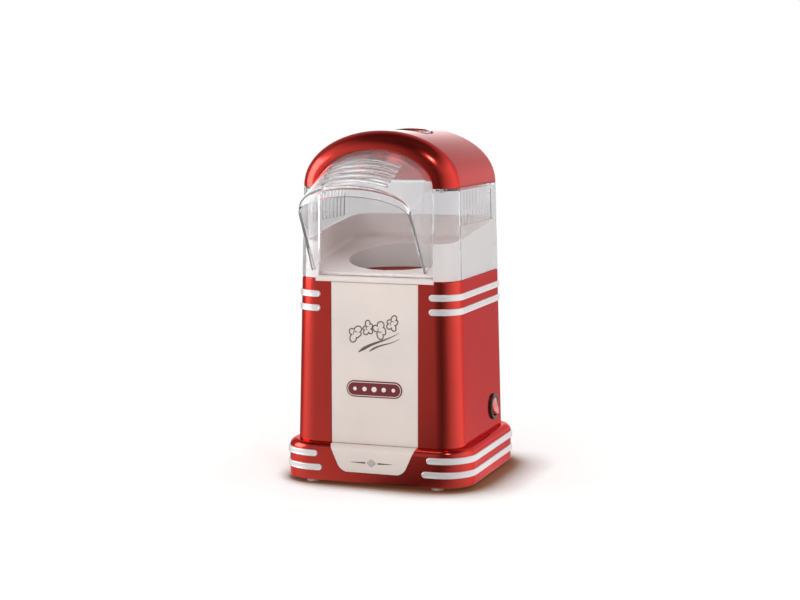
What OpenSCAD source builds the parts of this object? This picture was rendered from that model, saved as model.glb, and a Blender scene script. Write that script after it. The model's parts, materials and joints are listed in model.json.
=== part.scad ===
// Hot-air popcorn maker: a red housing on a stepped plinth, a clear cabin with a
// pouring hood and a domed roof with a measuring cup, around a fan, a heater and
// an aluminium popping chamber.
// Millimetres. +Z up, front towards -Y, switch side towards +X.
// The origin is the centre of the bounding box, on the surface it stands on.

/* [Overall] */
// Height from the table to the crown of the roof
total_h = 300; // [292:1:310]
// Height of the feet below the plinth
foot_h = 3; // [2:0.5:5]

/* [Plinth] */
// Width of the plinth
plinth_w = 166.6; // [164:0.2:176]
// Depth of the plinth
plinth_d = 162.2; // [160:0.2:172]
// Plan corner radius of the plinth
plinth_r = 28; // [22:1:32]
// Level of the top of the plinth
plinth_top = 34.8; // [33:0.2:38]
// Round on the top edge of the plinth
plinth_round = 6; // [3:0.5:7]
// How far the plinth stands forward of the housing
plinth_step = 7.6; // [5:0.2:10]

/* [Housing] */
// Width of the housing where it meets the plinth
body_w_low = 149.7; // [146:0.1:151]
// Width of the housing line at the roof
body_w_high = 138.6; // [136:0.1:146]
// Depth of the housing where it meets the plinth
body_d_low = 145.2; // [142:0.1:147]
// Depth of the housing line at the roof
body_d_high = 141.2; // [138:0.1:144]
// Plan corner radius of the housing, cabin and roof
body_r = 20; // [16:1:24]
// Level of the top of the red housing
body_top = 175.5; // [172:0.5:180]
// Wall of the moulded housing
wall = 2.6; // [2:0.1:3]

/* [Front] */
// Width of the cream front panel
panel_w = 77.5; // [70:0.5:84]
// Thickness of the front panel
panel_t = 1.5; // [1.2:0.1:1.8]
// Half width of the plinth plate at its lower edge
plate_low = 28; // [22:1:34]
// Level of the lower edge of the plinth plate
plate_z = 11.8; // [10:0.2:14]

/* [Trim strips] */
// Height of a trim strip
trim_h = 5.6; // [4:0.2:7]
// How far a trim strip stands proud
trim_out = 1.5; // [1:0.1:2]
// Distance from the middle of the front to the end of a housing strip
body_trim_start = 48.4; // [44:0.2:52]
// Distance from the middle of the front to the end of the upper plinth strip
plinth_trim_start = 48.8; // [46:0.2:54]
// How much further in the lower plinth strip reaches
trim_step_in = 4; // [0:0.5:6]
// Level of the upper housing strip
body_trim_z = 162.1; // [158:0.5:166]
// Level of the upper plinth strip
plinth_trim_z = 26.1; // [24:0.1:26.5]
// Drop from the upper strip of a pair to the lower one
trim_drop = 12; // [9:0.5:13]

/* [Roof and cabin] */
// Level of the lower edge of the roof
roof_z = 252.5; // [248:0.5:256]
// Half width of the arched opening in the roof
arch_w = 51; // [48:0.5:52]
// Rise of the arched opening
arch_h = 32; // [28:0.5:34]
// Wall of the clear cabin
clear_wall = 2.2; // [1.8:0.1:2.6]
// Number of steam slots in each cabin side
slot_count = 11; // [8:1:12]
// Pitch of the steam slots
slot_pitch = 8.7; // [8:0.1:9]

/* [Hood] */
// How far the hood reaches forward of the housing
hood_reach = 59.7; // [56:0.1:62]
// Level of the lowest tips of the hood
hood_low = 183.5; // [181:0.5:190]
// Half width of the hood at its lip
hood_half = 48; // [46:0.5:49]
// Number of steam louvres across the hood
louvre_count = 6; // [4:1:6]

/* [Popping chamber] */
// Inner radius of the chamber mouth
chamber_r = 45; // [43:0.5:46]
// Number of angled air slots round the chamber
chamber_slots = 24; // [16:4:28]

/* [Hidden] */
$fn = 64;

gap = 0.3;
corner_steps = 12;
arch_step = 5;
gland_out = 4.7;

// Places that follow from the bounding box being centred on the origin
total_d = hood_reach + plinth_d - plinth_step + gland_out;
front_y = hood_reach - total_d / 2;
plinth_front = front_y - plinth_step;
plinth_mid = plinth_front + plinth_d / 2;
plinth_rear = plinth_front + plinth_d;
axis_y = front_y + 72;
body_mid = front_y + body_d_low / 2;
roof_mid = front_y + body_d_high / 2;

// Plinth insides
plinth_wall = 2.8;
plinth_ledge = 19;
cover_t = 2.5;
cover_top = foot_h + cover_t;
foot_r = 5.5;
foot_x = 56;
foot_inset = 8.6;
base_boss_x = 72;
base_boss_y = 38;
shell_boss_inset = 10.5;
screw_r = 1.6;
gland_z = 18;

// Levels of the works, from the motor up
motor_z = 16;
motor_r = 13.8;
motor_h = 34;
bracket_z = motor_z + motor_h;
bracket_t = 2.4;
fan_z = bracket_z + bracket_t + 3.6;
fan_h = 14;
fan_r = 37;
duct_z = 32;
duct_top = 76;
duct_r = 43;
leg_r = 50;
shaft_r = 1.15;
heater_r = 51;
heater_top = body_top - 4.5;
gasket_h = body_top - heater_top - 1.2;
chamber_floor = 98;
flange_r = 52;

// Cabin and liner
cabin_z = body_top + gap;
deck_t = 2.6;
mouth_r = 53;
cabin_top_t = 2;
cabin_rim = 22;
cabin_front_rim = 2;
liner_gap = 0.6;
liner_screw_x = 58;
liner_screw_y = 54;
liner_wall = 2;
liner_front_z = 206;
liner_slope = 6.5;
floor_z = body_top + 1.5;
floor_t = 1.8;
floor_slope = 10;
chute_half = arch_w + 0.3;
lip_half = arch_w + 1.5;
bridge_half = arch_w - 0.6;
slot_z = 221.7;
slot_w = 1.8;
slot_first = 21;

// Roof
roof_wall = 2.4;
roof_rise = total_h - roof_z;
skirt = 1.5;
cup_r = 25;
cup_depth = 26;
cup_top = total_h - 1.4;
well_r = cup_r + 1.2;
post_in = 16;

// Hood: three arched sections, at the roof, at the fold and at the lip
hood_wall = 2;
lip_tilt = 33.8;
lip_top = 248.9;
lip_rise = 17.2;
fold_back = 5.5;
fold_top = 257;
fold_rise = 21;
hood_clear = 0.5;
root_lift = 5.5;
tip_flare = 2;
flange_back = 6;
flange_low = 214;
flange_w = 1.8;
flange_t = 1.6;

// Louvres, counted forward and down from the first one behind the fold
louvre_w = 58;
louvre_slot = 3;
louvre_tilt = 28;
louvre_first = 18;
louvre_z = 276;
louvre_pitch = 6.4;
louvre_drop = 3.2;

// Rocker switch, on the right wall
switch_y = front_y + 104;
switch_z = 55;
switch_r = 10;
bezel_r = 11.5;
rocker_r = 7.5;
rocker_tilt = 10;

// ---- Shared shapes ----

function body_w(z) = body_w_low + (body_w_high - body_w_low) * (z - plinth_top) / (roof_z - plinth_top);
function body_d(z) = body_d_low + (body_d_high - body_d_low) * (z - plinth_top) / (roof_z - plinth_top);
side_tilt = atan((body_w_low - body_w_high) / 2 / (roof_z - plinth_top));

// Rounded rectangle, centred
module round_rect(w, d, r) {
    square([w - 2 * r, d], center = true);
    square([w, d - 2 * r], center = true);
    for (x = [-1, 1], y = [-1, 1]) translate([x * (w / 2 - r), y * (d / 2 - r)]) circle(r);
}

// Solid skinned over closed sections that all have the same number of points, which
// run anticlockwise as seen from the end that the list leads to
module loft(sections) {
    n = len(sections[0]);
    last = (len(sections) - 1) * n;
    sides = [for (i = [0 : len(sections) - 2], k = [0 : n - 1])
        let (a = i * n + k, b = i * n + (k + 1) % n) each [[a, a + n, b + n], [a, b + n, b]]];
    polyhedron(points = [for (section = sections) each section], convexity = 6,
        faces = concat([[for (k = [0 : n - 1]) k]], sides, [[for (k = [n - 1 : -1 : 0]) last + k]]));
}

// Points of a rounded rectangle at level z, from its right front corner round
function rect_section(w, d, r, mid, z) = [
    for (corner = [0 : 3], k = [0 : corner_steps])
        let (a = 90 * (corner - 1 + k / corner_steps),
            x = corner < 2 ? 1 : -1, y = corner == 1 || corner == 2 ? 1 : -1)
            [x * (w / 2 - r) + r * cos(a), mid + y * (d / 2 - r) + r * sin(a), z]];

function body_section(z, inset) = rect_section(body_w(z) - 2 * inset, body_d(z) - 2 * inset,
    body_r - inset, front_y + body_d(z) / 2, z);

function plinth_section(z, inset) = rect_section(plinth_w - 2 * inset, plinth_d - 2 * inset,
    plinth_r - inset, plinth_mid, z);

// Solid that follows the housing line between two levels, with its front upright
module body_block(z_low, z_high, inset) {
    loft([body_section(z_low, inset), body_section(z_high, inset)]);
}

// Solid plinth with a rounded top edge
module plinth_block(z_low, inset) {
    loft([plinth_section(z_low, inset),
        for (a = [0 : 15 : 90]) plinth_section(plinth_top - inset - plinth_round * (1 - sin(a)),
            inset + plinth_round * (1 - cos(a)))]);
}

module ring(r_out, r_in, h) {
    difference() {
        cylinder(r = r_out, h = h);
        translate([0, 0, -1]) cylinder(r = r_in, h = h + 2);
    }
}

// Everything that shares the vertical axis of the fan and chamber
module on_axis(z = 0) {
    translate([0, axis_y, z]) children();
}

module at_corners(x, y, mid) {
    for (sx = [-1, 1], sy = [-1, 1]) translate([sx * x, mid + sy * y, 0]) children();
}

// The four screws that hold the housing to the plinth
module shell_screw_at() {
    at_corners(body_w_low / 2 - shell_boss_inset, body_d_low / 2 - shell_boss_inset, body_mid)
        children();
}

// Pan-head screw pointing up, with its head's underside at z = 0
module screw_up(length, shank_r = 1.5, head_r = 3.2, head_h = 1.8) {
    translate([0, 0, -head_h]) cylinder(r = head_r, h = head_h);
    cylinder(r = shank_r, h = length);
}

// Tube along a list of points; ref is a direction that no stretch runs along
function unit(v) = v / norm(v);
function run(p, i) = unit(p[min(i + 1, len(p) - 1)] - p[max(i - 1, 0)]);
module wire(p, r, ref, sides = 6) {
    loft([for (i = [0 : len(p) - 1])
        let (t = run(p, i), u = unit(cross(t, ref)), v = cross(t, u))
            [for (k = [0 : sides - 1]) p[i] + r * (cos(360 * k / sides) * u + sin(360 * k / sides) * v)]]);
}

// ---- Plinth and base ----

module plate_outline(grow = 0) {
    low_r = 6;
    half_top = panel_w / 2 + grow;
    half_low = plate_low + grow;
    difference() {
        polygon([[-half_top, plinth_top + 1], [half_top, plinth_top + 1],
            [half_low, plate_z - grow], [-half_low, plate_z - grow]]);
        for (s = [-1, 1]) translate([s * half_low, plate_z - grow])
            difference() {
                circle(3.2, $fn = 4);
                translate([-s * low_r * 0.72, low_r]) circle(low_r);
            }
    }
}

module plate_prism(grow = 0) {
    translate([0, plinth_front + plinth_step, 0]) rotate([90, 0, 0])
        linear_extrude(plinth_step + 2) plate_outline(grow);
}

module plinth() color("firebrick") {
    difference() {
        plinth_block(foot_h, 0);
        difference() {
            plinth_block(foot_h - 1, plinth_wall);
            at_corners(base_boss_x, base_boss_y, plinth_mid)
                translate([0, 0, cover_top]) cylinder(r = 4.5, h = plinth_top);
        }
        translate([0, body_mid, foot_h]) linear_extrude(plinth_top)
            round_rect(body_w_low - 2 * plinth_ledge, body_d_low - 2 * plinth_ledge, 14);
        at_corners(base_boss_x, base_boss_y, plinth_mid)
            translate([0, 0, foot_h]) cylinder(r = screw_r, h = 16);
        shell_screw_at() cylinder(r = 2, h = plinth_top + 1);
        translate([0, plinth_rear - 8, gland_z]) rotate([-90, 0, 0]) cylinder(r = 6.1, h = 12);
        difference() {
            plate_prism(0.2);
            plinth_block(foot_h, panel_t);
        }
        for (level = [0, 1], side = [-1, 1]) plinth_strip(level, side, 0.1);
    }
}

module base_cover() color("dimgray") {
    difference() {
        translate([0, plinth_mid, foot_h]) linear_extrude(cover_t)
            round_rect(plinth_w - 2 * plinth_wall - 2 * gap, plinth_d - 2 * plinth_wall - 2 * gap,
                plinth_r - plinth_wall - gap);
        at_corners(foot_x, plinth_d / 2 - foot_inset, plinth_mid)
            cylinder(r = 3, h = cover_top + 1);
        at_corners(base_boss_x, base_boss_y, plinth_mid) cylinder(r = 1.9, h = cover_top + 1);
        on_axis() for (a = [45 : 90 : 315])
            rotate(a) translate([leg_r, 0, 0]) cylinder(r = 1.9, h = cover_top + 1);
        for (i = [-6 : 6])
            let (half = sqrt(34 * 34 - i * i * 25))
                translate([-half, axis_y + i * 5 - 1.25, 0]) cube([2 * half, 2.5, cover_top + 1]);
    }
    on_axis(foot_h) difference() {
        for (x = [-16, 0, 16]) translate([x - 1, -34, 0]) cube([2, 68, cover_t]);
        ring(60, 34, cover_t);
    }
}

module foot(sx, sy) color("lightgray") {
    translate([sx * foot_x, plinth_mid + sy * (plinth_d / 2 - foot_inset), 0]) {
        cylinder(r = foot_r, h = foot_h);
        cylinder(r = 2.9, h = cover_top + 1);
        translate([0, 0, cover_top]) cylinder(r = 3.8, h = 1.4);
    }
}

module base_screws() color("silver") {
    at_corners(base_boss_x, base_boss_y, plinth_mid)
        translate([0, 0, foot_h]) screw_up(14);
}

module cord_gland() color("black") {
    translate([0, plinth_rear, gland_z]) rotate([-90, 0, 0]) difference() {
        union() {
            translate([0, 0, gap]) cylinder(r = 8, h = gland_out - gap);
            translate([0, 0, -12]) cylinder(r = 6, h = 13);
        }
        translate([0, 0, -13]) cylinder(r = 3.5, h = 30);
    }
}

module gland_nut() color("black") {
    translate([0, plinth_rear - plinth_wall - 4.2, gland_z]) rotate([-90, 0, 0])
        ring(9, 6.1, 4);
}

// ---- Housing ----

// Wrap-round strip with round ends, on a line of width w and depth d
module strip(w, d, mid, r, z, start, side, grow) {
    h = trim_h + 2 * grow;
    inset = 0.9 + grow;
    out = trim_out + grow;
    intersection() {
        translate([0, mid, z - h / 2]) linear_extrude(h) difference() {
            round_rect(w + 2 * out, d + 2 * out, r + out);
            round_rect(w - 2 * inset, d - 2 * inset, r - inset);
        }
        translate([side * (start - grow + h / 2), mid, z]) union() {
            rotate([90, 0, 0]) cylinder(r = h / 2, h = d + 20, center = true);
            translate([side * 50, 0, 0]) cube([100, d + 20, h], center = true);
        }
    }
}

// Strip on the housing: level 0 is the upper one and level 1 the lower
module body_strip(level, side, grow = 0) color("lightgray") {
    z = body_trim_z - level * trim_drop;
    strip(body_w(z), body_d(z), front_y + body_d(z) / 2, body_r, z, body_trim_start, side, grow);
}

module plinth_strip(level, side, grow = 0) color("lightgray") {
    strip(plinth_w, plinth_d, plinth_mid, plinth_r, plinth_trim_z - level * trim_drop,
        plinth_trim_start - level * trim_step_in, side, grow);
}

module body_shell() color("firebrick") {
    difference() {
        body_block(plinth_top, body_top, 0);
        body_block(plinth_top - 1, body_top - deck_t, wall);
        on_axis() cylinder(r = mouth_r, h = total_h);
        translate([-panel_w / 2 - 0.2, front_y - 1, plinth_top - 1])
            cube([panel_w + 0.4, panel_t + 1, body_top]);
        for (level = [0, 1], side = [-1, 1]) body_strip(level, side, 0.1);
        switch_place() translate([0, 0, -10]) cylinder(r = switch_r + 0.1, h = 20);
        at_corners(liner_screw_x, liner_screw_y, axis_y)
            translate([0, 0, body_top - 10]) cylinder(r = 1.8, h = 20);
    }
    shell_screw_at() translate([0, 0, plinth_top]) ring(4.5, screw_r, 20);
}

module shell_screws() color("silver") {
    shell_screw_at() translate([0, 0, plinth_top - plinth_wall]) screw_up(15);
}

module front_panel() color("antiquewhite") {
    translate([-panel_w / 2, front_y, plinth_top])
        cube([panel_w, panel_t - 0.05, body_top - plinth_top - 2.6]);
}

module plinth_plate() color("antiquewhite") {
    intersection() {
        difference() {
            plinth_block(foot_h, 0);
            plinth_block(foot_h - 1, panel_t - 0.05);
        }
        plate_prism();
    }
}

// ---- Chute liner ----

// Half-space below a plane that rises to the rear, through level z at the front face
module below_slope(z, angle) {
    translate([0, front_y, z]) rotate([angle, 0, 0]) translate([-100, -20, -120]) cube([200, 220, 120]);
}

module chute_liner() color("whitesmoke") {
    inset = clear_wall + liner_gap;
    difference() {
        intersection() {
            body_block(body_top, roof_z - 4, inset);
            below_slope(liner_front_z, liner_slope);
        }
        difference() {
            body_block(body_top, roof_z, inset + liner_wall);
            below_slope(floor_z, floor_slope);
        }
        difference() {
            intersection() {
                body_block(body_top - 1, roof_z, inset + liner_wall);
                below_slope(floor_z - floor_t, floor_slope);
            }
            at_corners(liner_screw_x, liner_screw_y, axis_y) cylinder(r = 5, h = total_h);
            on_axis() cylinder(r = chamber_r + 4, h = total_h);
        }
        on_axis() cylinder(r = chamber_r + 1, h = total_h);
        translate([-chute_half, front_y - 5, floor_z + 1]) cube([2 * chute_half, 20, 60]);
        at_corners(liner_screw_x, liner_screw_y, axis_y)
            translate([0, 0, body_top - 1]) cylinder(r = screw_r, h = 3.8);
    }
    translate([-lip_half, front_y - 1.6, body_top - 2.4]) cube([2 * lip_half, 1.6, 5]);
    translate([-bridge_half, front_y - 0.1, body_top + 0.1]) cube([2 * bridge_half, 6, 2.4]);
}

module liner_screws() color("silver") {
    at_corners(liner_screw_x, liner_screw_y, axis_y)
        translate([0, 0, body_top - deck_t]) screw_up(5);
}

// ---- Lift-off cover ----

module side_slots() {
    for (i = [0 : slot_count - 1])
        translate([0, front_y + slot_first + i * slot_pitch, 0]) {
            translate([-80, -slot_w / 2, slot_z]) cube([160, slot_w, roof_z - 4 - slot_z]);
            translate([0, 0, slot_z]) rotate([0, 90, 0])
                cylinder(r = slot_w / 2, h = 160, center = true);
        }
}

module roof_post_at() {
    at_corners(body_w_high / 2 - post_in, body_d_high / 2 - post_in, roof_mid) children();
}

module clear_cabin() color("lightcyan", 0.4) {
    difference() {
        body_block(cabin_z, roof_z, 0);
        body_block(cabin_z - 1, roof_z - cabin_top_t, clear_wall);
        translate([0, roof_mid - (cabin_rim - cabin_front_rim) / 2, roof_z - 4]) linear_extrude(8)
            round_rect(body_w_high - 2 * cabin_rim, body_d_high - cabin_rim - cabin_front_rim, 8);
        translate([-arch_w, front_y - 1, cabin_z - 1]) cube([2 * arch_w, 10, total_h]);
        translate([-arch_w - 2.4, front_y + clear_wall, roof_z - 5]) cube([2 * arch_w + 4.8, 18, 10]);
        side_slots();
        roof_post_at() translate([0, 0, roof_z - 4]) cylinder(r = 1.9, h = 8);
    }
}

// Half ellipse on straight legs, from its right foot over the top to its left foot
function arch(half, foot_half, foot, spring, rise) = concat(
    [[foot_half, foot]],
    [for (a = [0 : arch_step : 180]) [half * cos(a), spring + rise * sin(a)]],
    [[-foot_half, foot]]);

// An outline stood upright at depth y
function upright(outline, y) = [for (p = outline) [p.x, y, p.y]];

// An outline in a plane that leans forward by lip_tilt, through depth y at level z;
// its own levels count up from z
function leaning(outline, y, z) = [for (p = outline) [p.x, y - p.y * tan(lip_tilt), z + p.y]];

// Hood skinned from the roof, over the fold, to the leaning lip; past stretches it
// beyond both ends, for the hollow
module hood_form(inset, past) {
    drop = past > 0 ? 20 : 0;
    tip_y = front_y - hood_reach + (lip_top - hood_low) * tan(lip_tilt);
    root_half = arch_w - hood_clear - inset;
    tip_half = hood_half + tip_flare - inset;
    root = arch(root_half, root_half, hood_low + root_lift - drop, roof_z, arch_h - hood_clear - inset);
    loft([
        upright(root, front_y + flange_back + inset),
        upright(root, front_y),
        leaning(arch(hood_half + 0.5 - inset, tip_half, -drop,
            fold_top - fold_rise - hood_low, fold_rise - inset), tip_y + fold_back, hood_low),
        leaning(arch(hood_half - inset, tip_half, -drop,
            lip_top - lip_rise - hood_low, lip_rise - inset), tip_y - past, hood_low - past * 0.6)
    ]);
}

module louvres() {
    for (i = [0 : louvre_count - 1])
        translate([0, front_y - louvre_first - i * louvre_pitch, louvre_z - i * louvre_drop])
            rotate([louvre_tilt, 0, 0])
                translate([-louvre_w / 2, -louvre_slot / 2, -12]) cube([louvre_w, louvre_slot, 30]);
}

// Rim that holds the hood behind the cabin front and the roof
module hood_flange() {
    wide = arch_w + flange_w;
    narrow = arch_w - flange_w;
    outer = upright(arch(wide, wide, flange_low, roof_z, arch_h + flange_w), 0);
    inner = upright(arch(narrow, narrow, flange_low - 6, roof_z, arch_h - flange_w), 0);
    translate([0, front_y + flange_back, 0]) difference() {
        loft([outer, [for (p = outer) p - [0, flange_t, 0]]]);
        loft([[for (p = inner) p + [0, 2, 0]], [for (p = inner) p - [0, 6, 0]]]);
    }
}

module chute_hood() color("lightcyan", 0.4) {
    difference() {
        hood_form(0, 0);
        hood_form(hood_wall, 6);
        louvres();
    }
    hood_flange();
}

// Rounded arched roof, from its rear face to its front
module roof_form(inset) {
    half = body_w_high / 2;
    foot = roof_z - (inset > 0 ? 2 : 0);
    sweep = [for (a = [90 : -10 : 0]) [1, a], for (a = [0 : 10 : 90]) [-1, a]];
    loft([for (step = sweep)
        let (shrink = inset + (body_r - inset) * (1 - cos(step[1])),
            reach = body_d_high / 2 - body_r + (body_r - inset) * sin(step[1]))
            upright(arch(half - shrink, half - shrink, foot, roof_z + skirt, roof_rise - skirt - shrink),
                roof_mid + step[0] * reach)]);
}

module dome_roof() color("firebrick") {
    difference() {
        union() {
            difference() {
                roof_form(0);
                roof_form(roof_wall);
            }
            intersection() {
                roof_form(roof_wall / 2);
                union() {
                    roof_post_at() translate([0, 0, roof_z]) cylinder(r = 4, h = roof_rise);
                    translate([0, axis_y, cup_top - cup_depth - 3])
                        cylinder(r = well_r + 2, h = cup_depth + 10);
                }
            }
        }
        translate([0, axis_y, cup_top - cup_depth - 0.6]) cylinder(r = well_r, h = 60);
        translate([0, front_y + 25, 0]) rotate([90, 0, 0]) linear_extrude(26)
            polygon(arch(arch_w, arch_w, roof_z - 5, roof_z, arch_h));
        roof_post_at() translate([0, 0, roof_z - 1]) cylinder(r = screw_r, h = 12);
    }
}

module roof_screws() color("silver") {
    roof_post_at() translate([0, 0, roof_z - 2]) screw_up(10);
}

module measuring_cup() color("lightcyan", 0.5) {
    translate([0, axis_y, cup_top - cup_depth]) rotate_extrude()
        polygon([[0, 0], [cup_r - 3, 0], [cup_r - 1, 2], [cup_r, cup_depth], [cup_r - 1.8, cup_depth],
            [cup_r - 2.8, 3], [cup_r - 4, 1.8], [0, 1.8]]);
}

// ---- Rocker switch ----

// Local frame of the switch: z points out of the right wall, y runs along it
module switch_place() {
    translate([body_w(switch_z) / 2, switch_y, switch_z]) rotate([0, 90 - side_tilt, 0]) children();
}

module switch_housing() color("black") {
    switch_place() difference() {
        union() {
            translate([0, 0, 0.05]) cylinder(r = bezel_r, h = 2);
            translate([0, 0, -14]) cylinder(r = switch_r, h = 15);
        }
        translate([0, 0, -6]) cylinder(r = rocker_r + 0.9, h = 20);
        translate([0, 0, -1.5]) rotate([90, 0, 0]) cylinder(r = 1.25, h = 19, center = true);
    }
}

module switch_rocker() color("red") {
    switch_place() translate([0, 0, -1.5]) rotate([0, -rocker_tilt, 0]) {
        intersection() {
            translate([0, 0, -3]) cylinder(r = rocker_r, h = 12);
            rotate([90, 0, 0]) linear_extrude(2 * rocker_r, center = true)
                polygon([[-7.5, 5.1], [0, 3.8], [7.5, 5.1], [7.5, 1], [2.5, -2.4], [-2.5, -2.4], [-7.5, 1]]);
        }
        rotate([90, 0, 0]) cylinder(r = 1.2, h = 18.6, center = true);
    }
}

module switch_terminals() color("goldenrod") {
    switch_place() for (i = [-1 : 1])
        translate([i * 5 - 0.4, -2.4, -22]) cube([0.8, 4.8, 8]);
}

// ---- Popping chamber and heater ----

module popping_chamber() color("lightsteelblue") {
    on_axis() difference() {
        rotate_extrude() polygon([
            [0, chamber_floor + 12], [14, chamber_floor + 8], [30, chamber_floor],
            [chamber_r - 7, chamber_floor],
            [chamber_r - 3, chamber_floor + 4], [chamber_r, heater_top + 1.2], [flange_r, heater_top + 1.2],
            [flange_r, heater_top], [chamber_r + 1.2, heater_top], [chamber_r - 1.8, chamber_floor + 3.6],
            [chamber_r - 6.5, chamber_floor - 1.2], [29.8, chamber_floor - 1.2], [13.6, chamber_floor + 6.8],
            [0, chamber_floor + 10.8]]);
        for (i = [0 : chamber_slots - 1]) rotate(i * 360 / chamber_slots)
            translate([chamber_r - 2, 0, chamber_floor + 12]) rotate([25, 0, 20])
                cube([9, 1.6, 12], center = true);
    }
}

module chamber_gasket() color("tomato") {
    on_axis(heater_top + 1.2) ring(flange_r, chamber_r + 2.5, gasket_h);
}

module heater_housing() color("gainsboro") {
    on_axis() difference() {
        union() {
            translate([0, 0, duct_top]) ring(heater_r, heater_r - 0.8, heater_top - duct_top);
            translate([0, 0, duct_top]) ring(heater_r - 0.4, 36, 1);
        }
        for (a = [0 : 120 : 240]) rotate(a) translate([46, 0, duct_top - 1]) cylinder(r = 1.7, h = 4);
    }
}

module heater_screws() color("silver") {
    on_axis(duct_top + 1) for (a = [0 : 120 : 240])
        rotate(a) translate([46, 0, 0]) mirror([0, 0, 1]) screw_up(7);
}

module heater_former() color("burlywood") {
    on_axis(duct_top + 1) {
        for (a = [0, 90]) rotate(a) translate([-34, -0.5, 0]) cube([68, 1, 17]);
        ring(38, 33, 1);
    }
}

module heater_coil() color("slategray") {
    turns = 5;
    coil_r = 35.6;
    steps = 24;
    on_axis() wire([for (i = [0 : turns * steps])
        [coil_r * cos(360 * i / steps), coil_r * sin(360 * i / steps), duct_top + 4 + i * 2.6 / steps]],
        0.9, [0, 0, 1]);
}

module thermostat() color("silver") {
    on_axis(130) rotate([0, 0, 180]) translate([heater_r + 0.6, 0, 0]) rotate([0, 90, 0]) {
        translate([0, 0, 0.2]) cylinder(r = 8, h = 5);
        translate([0, 0, 5]) cylinder(r = 6, h = 3);
        for (s = [-1, 1]) translate([-3, s * 3 - 0.4, 8]) cube([6, 0.8, 5]);
    }
}

module thermal_fuse() color("gray") {
    on_axis(118) rotate(140) translate([heater_r + 3, 0, 0]) {
        cylinder(r = 2, h = 12);
        translate([0, 0, -6]) cylinder(r = 0.6, h = 24);
    }
}

// ---- Fan and motor ----

module fan_duct() color("darkslategray") {
    on_axis() difference() {
        union() {
            translate([0, 0, duct_z]) cylinder(r = duct_r, h = duct_top - duct_z);
            translate([0, 0, duct_top - 3]) cylinder(r = leg_r + 5, h = 3);
            for (a = [45 : 90 : 315]) rotate(a) translate([leg_r, 0, cover_top])
                cylinder(r = 4, h = duct_top - 1 - cover_top);
        }
        translate([0, 0, duct_z - 1]) cylinder(r = duct_r - 5, h = 60);
        translate([0, 0, bracket_z]) cylinder(r = duct_r - 2, h = 60);
        for (a = [45 : 90 : 315]) rotate(a) translate([leg_r, 0, 0]) cylinder(r = screw_r, h = 20);
        for (a = [0 : 120 : 240]) rotate(a) translate([46, 0, 50]) cylinder(r = screw_r, h = 40);
    }
}

module duct_screws() color("silver") {
    on_axis(foot_h) for (a = [45 : 90 : 315]) rotate(a) translate([leg_r, 0, 0]) screw_up(14);
}

module motor_bracket() color("gray") {
    on_axis(bracket_z) difference() {
        union() {
            ring(duct_r - 2.1, duct_r - 6, bracket_t);
            cylinder(r = motor_r, h = bracket_t);
            for (a = [30 : 120 : 270]) rotate(a) translate([10, -4, 0]) cube([28, 8, bracket_t]);
        }
        translate([0, 0, -1]) cylinder(r = 4, h = 6);
        for (s = [-1, 1]) translate([s * 8, 0, -1]) cylinder(r = 1.6, h = 6);
    }
}

module motor_screws() color("silver") {
    on_axis(bracket_z + bracket_t) for (s = [-1, 1]) translate([s * 8, 0, 0])
        mirror([0, 0, 1]) screw_up(6, 1.5, 2.8, 1.6);
}

module motor_can() color("silver") {
    on_axis(motor_z) difference() {
        cylinder(r = motor_r, h = motor_h);
        translate([0, 0, -1]) cylinder(r = shaft_r + 0.05, h = motor_h + 2);
        for (s = [-1, 1]) translate([s * 8, 0, motor_h - 6]) cylinder(r = 1.55, h = 8);
    }
}

module motor_end_cap() color("black") {
    on_axis(motor_z - 3) difference() {
        cylinder(r = motor_r - 1, h = 3);
        translate([0, 0, -1]) cylinder(r = shaft_r + 0.4, h = 6);
    }
}

module motor_shaft() color("lightgray") {
    on_axis(motor_z - 2) cylinder(r = shaft_r, h = fan_z + fan_h - motor_z);
}

module fan_impeller() color("steelblue") {
    on_axis(fan_z) difference() {
        union() {
            cylinder(r = fan_r, h = 1.6);
            cylinder(r = 7, h = fan_h);
            for (i = [0 : 8]) rotate(i * 40) translate([5, -0.7, 0]) rotate([0, 0, 12])
                cube([fan_r - 8, 1.4, fan_h - 2]);
        }
        translate([0, 0, -1]) cylinder(r = shaft_r, h = fan_h + 2);
    }
}

// ---- Electrics ----

module rectifier_board() color("seagreen") {
    on_axis(motor_z - 4.6) translate([-13, -9, 0]) cube([26, 18, 1.6]);
}

module rectifier_diodes() color("black") {
    on_axis(motor_z - 6) for (i = [-1.5 : 1.5])
        translate([i * 5.5, 0, 0]) rotate([90, 0, 0]) cylinder(r = 1.3, h = 5.2, center = true);
}

module terminal_block() color("ivory") {
    translate([-18, plinth_rear - 34, cover_top]) difference() {
        cube([36, 11, 13]);
        for (x = [7, 18, 29]) translate([x, 5.5, 6]) cylinder(r = 2, h = 8);
    }
}

// Wires run from the terminal block to the switch and to the heater
module switch_wire() color("saddlebrown") {
    wire([[19, plinth_rear - 28, 12], [30, plinth_rear - 30, 13], [46, switch_y + 12, 26],
        [50, switch_y + 4, 46], [body_w(switch_z) / 2 - 24, switch_y, switch_z - 0.5]],
        1.1, [0, 1, 0]);
}

module heater_wire() color("saddlebrown") {
    wire([[-19, plinth_rear - 28, 12], [-32, plinth_rear - 30, 16], [-48, axis_y + 36, 60],
        [-60, axis_y + 12, 110], [-heater_r - 11, axis_y + 6, 124]], 1.1, [0, 1, 0]);
}

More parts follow.
